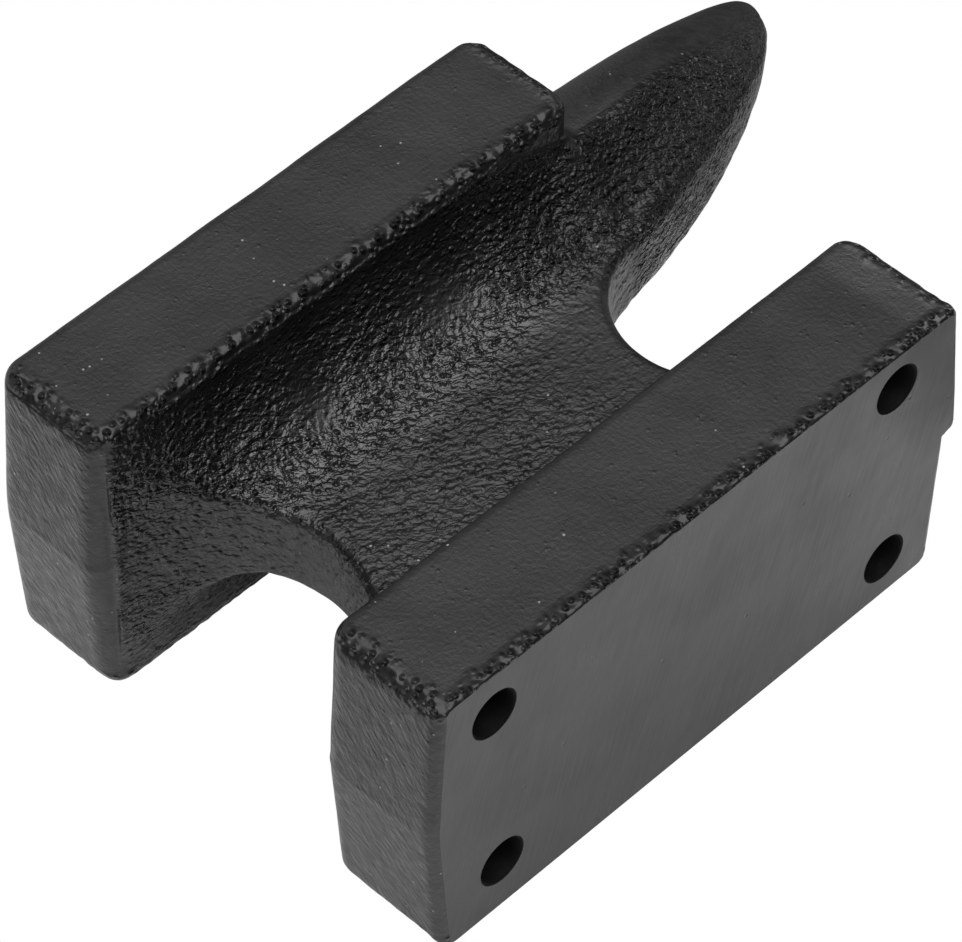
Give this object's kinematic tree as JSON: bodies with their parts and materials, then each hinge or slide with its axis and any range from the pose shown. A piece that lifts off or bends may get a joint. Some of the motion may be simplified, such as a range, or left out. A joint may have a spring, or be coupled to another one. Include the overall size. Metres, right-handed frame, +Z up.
{
  "type": "anvil",
  "caption": "Small bench anvil with a single rounded horn, a square heel, a narrow waist and a screw-down base.",
  "frame": {"origin": "middle of the base's underside, on the bench, measured along the base's side edges", "axes": "+X from the heel to the horn, Y across the width, +Z up out of the bench"},
  "size_m": [0.1004, 0.036, 0.0589],
  "materials": {
    "base_paint": "satin black paint over a sand-cast skin, machined underneath",
    "waist_paint": "glossy black paint over a rough sand-cast skin",
    "head_paint": "satin black paint over a sand-cast skin",
    "horn_paint": "satin to glossy black paint over a sand-cast skin"
  },
  "bodies": {
    "root": {"base": "base_paint", "waist": "waist_paint", "head": "head_paint", "horn": "horn_paint"}
  },
  "joints": []
}
